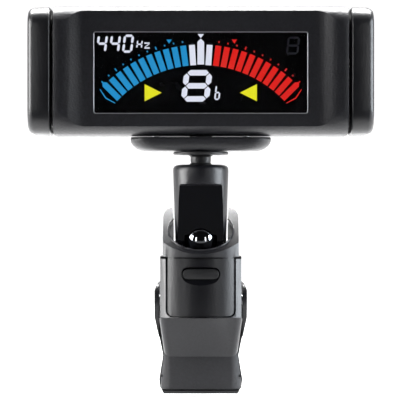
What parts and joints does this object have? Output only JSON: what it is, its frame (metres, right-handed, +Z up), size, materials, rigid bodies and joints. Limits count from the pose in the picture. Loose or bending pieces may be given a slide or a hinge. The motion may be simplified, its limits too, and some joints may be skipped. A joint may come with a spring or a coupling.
{
  "type": "clip on tuner",
  "caption": "Clip-on instrument tuner: wide display barrel on a double ball-jointed arm above a sprung clip with rubber jaw pads.",
  "frame": {"origin": "centre of the front jaw pad's gripping face, on the clip's mid plane", "axes": "+X along the display barrel to the reader's right, +Y away from the reader through the jaws, +Z up from the jaws to the display"},
  "size_m": [0.072, 0.0288, 0.0812],
  "materials": {
    "black_plastic": "fine grained, satin",
    "dark_plastic": "satin",
    "rubber": "matte",
    "chrome": "polished",
    "stud_metal": "black plated",
    "steel": "plain",
    "window": "clear, polished",
    "display": "dark display with lit segments",
    "white_plastic": "satin",
    "board": "solder mask",
    "brass": "plain",
    "cell_can": "plain sleeve"
  },
  "bodies": {
    "clip": {"clip_body": "black_plastic", "clip_cover": "black_plastic", "latch_tab": "dark_plastic", "front_jaw_pad": "rubber", "hinge_pin": "steel", "torsion_spring": "steel", "lower_ball_stud": "chrome", "stud_push_nut": "steel"},
    "rear_lever": {"rear_lever": "black_plastic", "rear_jaw_pad": "rubber"},
    "arm": {"arm_front": "black_plastic", "arm_rear": "black_plastic", "arm_screw": "steel"},
    "socket_liner": {"socket_liner": "white_plastic"},
    "ball_stud": {"ball_stud": "stud_metal", "stud_nut": "steel"},
    "head": {"housing_front": "black_plastic", "housing_rear": "black_plastic", "housing_screw_1": "steel", "housing_screw_2": "steel", "housing_screw_3": "steel", "housing_screw_4": "steel", "display_window": "window", "lcd_panel": "display", "light_guide": "white_plastic", "contact_strip": "rubber", "display_frame": "dark_plastic", "main_board": "board", "controller_chip": "dark_plastic", "timing_crystal": "steel", "vibration_sensor": "brass", "battery_cell": "cell_can", "battery_cradle": "dark_plastic", "plus_contact": "brass", "switch_body": "dark_plastic", "mount_foot": "black_plastic", "foot_screw_1": "steel", "foot_screw_2": "steel"},
    "switch": {"shuttle_cap": "black_plastic", "switch_shaft": "white_plastic", "switch_return_spring": "steel"},
    "battery_door": {"battery_cap": "black_plastic", "minus_contact_spring": "brass"}
  },
  "joints": [
    {"name": "lever_hinge", "type": "hinge", "parent": "clip", "child": "rear_lever", "pos_m": [0, 0.0005, 0.0076], "axis": [1, 0, 0], "range_deg": [0, 26], "stiffness_Nm_per_rad": 0.03, "springref_deg": -114.59, "deforming": ["torsion_spring"]},
    {"name": "arm_pitch", "type": "hinge", "parent": "clip", "child": "arm", "pos_m": [0, 0.0005, 0.0202], "axis": [1, 0, 0], "range_deg": [-15, 65]},
    {"name": "socket_roll", "type": "hinge", "parent": "arm", "child": "socket_liner", "pos_m": [0, 0.0005, 0.0343], "axis": [0, 1, 0], "range_deg": [-12, 12]},
    {"name": "ball_pitch", "type": "hinge", "parent": "socket_liner", "child": "ball_stud", "pos_m": [0, 0.0005, 0.0343], "axis": [1, 0, 0], "range_deg": [-12, 12]},
    {"name": "head_swivel", "type": "hinge", "parent": "ball_stud", "child": "head", "pos_m": [0, 0.0005, 0.0343], "axis": [0, 0, 1], "continuous": true},
    {"name": "switch_twist", "type": "hinge", "parent": "head", "child": "switch", "pos_m": [0.0312, 0.0005, 0.0557], "axis": [1, 0, 0], "range_deg": [-15, 15], "stiffness_Nm_per_rad": 0.004},
    {"name": "battery_cap_slide", "type": "slide", "parent": "head", "child": "battery_door", "axis": [-1, 0, 0], "range_m": [0, 0.012]}
  ]
}
